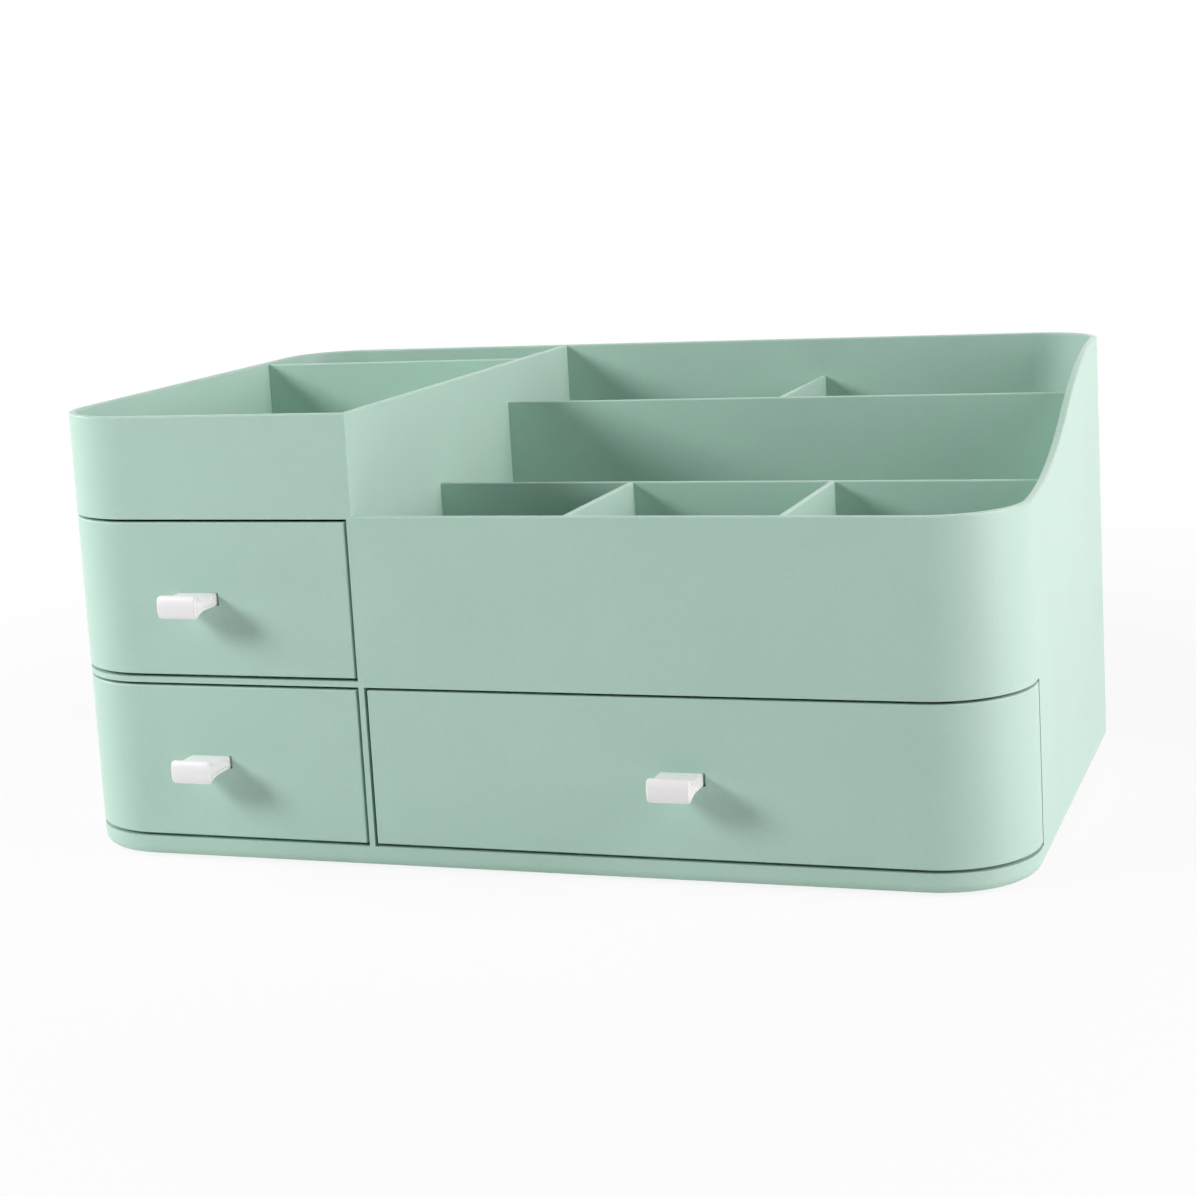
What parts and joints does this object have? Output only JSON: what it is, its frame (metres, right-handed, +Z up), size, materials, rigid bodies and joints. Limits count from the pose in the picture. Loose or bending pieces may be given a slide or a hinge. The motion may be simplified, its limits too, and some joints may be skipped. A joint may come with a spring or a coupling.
{
  "type": "cosmetic storage box with drawers",
  "caption": "Desktop cosmetic box with rounded corners: a raised open bin and divided open rows above, and sliding drawers with wrap-around fronts and small flared pulls below.",
  "frame": {"origin": "middle of the footprint at table level, with the pulls counted in the depth", "axes": "+X to the right seen from the front, +Y to the back, +Z up; the drawers open towards -Y"},
  "size_m": [0.33, 0.231, 0.1522],
  "materials": {
    "mint_plastic": "fine matte moulded texture, pale mint green",
    "white_plastic": "smooth satin white",
    "screw_steel": "bright zinc plated",
    "foot_rubber": "soft matte grey pads"
  },
  "bodies": {
    "cabinet": {"outer_shell": "mint_plastic", "foot_pads": "foot_rubber", "centre_partition": "mint_plastic", "base_plate": "mint_plastic", "drawer_shelf": "mint_plastic", "left_bin_floor": "mint_plastic", "right_section_floor": "mint_plastic", "left_bin_divider": "mint_plastic", "front_cross_divider": "mint_plastic", "rear_cross_divider": "mint_plastic", "front_row_divider_left": "mint_plastic", "front_row_divider_right": "mint_plastic", "rear_row_divider": "mint_plastic"},
    "upper_left_drawer": {"upper_left_drawer_tray": "mint_plastic", "upper_left_drawer_front": "mint_plastic", "upper_left_drawer_pull": "white_plastic", "upper_left_drawer_pull_screw": "screw_steel"},
    "lower_left_drawer": {"lower_left_drawer_tray": "mint_plastic", "lower_left_drawer_front": "mint_plastic", "lower_left_drawer_pull": "white_plastic", "lower_left_drawer_pull_screw": "screw_steel"},
    "right_drawer": {"right_drawer_tray": "mint_plastic", "right_drawer_front": "mint_plastic", "right_drawer_pull": "white_plastic", "right_drawer_pull_screw": "screw_steel"}
  },
  "joints": [
    {"name": "upper_left_drawer_slide", "type": "slide", "parent": "cabinet", "child": "upper_left_drawer", "axis": [0, -1, 0], "range_m": [0, 0.14]},
    {"name": "lower_left_drawer_slide", "type": "slide", "parent": "cabinet", "child": "lower_left_drawer", "axis": [0, -1, 0], "range_m": [0, 0.14]},
    {"name": "right_drawer_slide", "type": "slide", "parent": "cabinet", "child": "right_drawer", "axis": [0, -1, 0], "range_m": [0, 0.14]}
  ]
}
